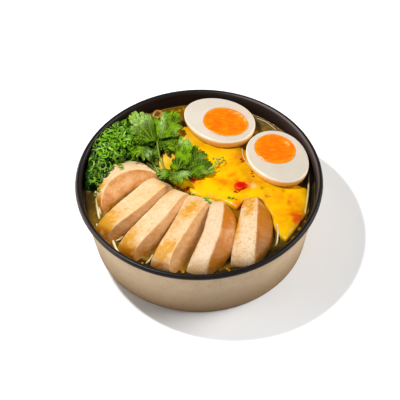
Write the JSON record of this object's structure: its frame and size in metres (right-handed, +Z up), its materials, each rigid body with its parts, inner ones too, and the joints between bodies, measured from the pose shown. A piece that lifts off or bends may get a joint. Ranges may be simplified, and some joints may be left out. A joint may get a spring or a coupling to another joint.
{
  "type": "cheese ramen in a paper bowl",
  "caption": "Noodle soup topped with melted cheese, soft-boiled egg halves, sliced chicken breast, scallion, coriander and chili, in a round kraft paper bowl with a black lining.",
  "frame": {"origin": "on the table at the centre of the bowl's foot", "axes": "+Z up, -Y towards the eater, +X to the eater's right"},
  "size_m": [0.1846, 0.185, 0.0592],
  "materials": {
    "kraft_paper": "uncoated kraft board, fine fibres and flecks",
    "black_lining": "black film laminated to the board, satin",
    "broth": "clear oily broth, glossy",
    "noodle": "boiled wheat noodle, moist",
    "cheese": "melted cheese, smooth and glossy",
    "egg_white": "boiled egg white, smooth and moist",
    "egg_yolk": "soft-boiled yolk, glossy",
    "chicken": "poached and lightly seared breast, fibrous",
    "scallion": "fresh chopped scallion, moist",
    "coriander": "fresh leaf, soft sheen",
    "coriander_stem": "fresh stem, moist",
    "chili": "red chili skin, glossy"
  },
  "bodies": {
    "root": {"bowl_wall": "kraft_paper", "bowl_base": "kraft_paper", "broth": "broth", "noodles": "noodle", "cheese": "cheese", "egg_white_a": "egg_white", "egg_yolk_a": "egg_yolk", "egg_white_b": "egg_white", "egg_yolk_b": "egg_yolk", "chicken_slice_1": "chicken", "chicken_slice_2": "chicken", "chicken_slice_3": "chicken", "chicken_slice_4": "chicken", "chicken_slice_5": "chicken", "chicken_slice_6": "chicken", "scallion_heap": "scallion", "coriander_leaf_1": "coriander", "coriander_leaf_2": "coriander", "coriander_leaf_3": "coriander", "coriander_leaf_4": "coriander", "coriander_leaf_5": "coriander", "coriander_leaf_6": "coriander", "coriander_leaf_7": "coriander", "coriander_stem_1": "coriander_stem", "coriander_stem_2": "coriander_stem", "chili_piece": "chili"}
  },
  "joints": []
}
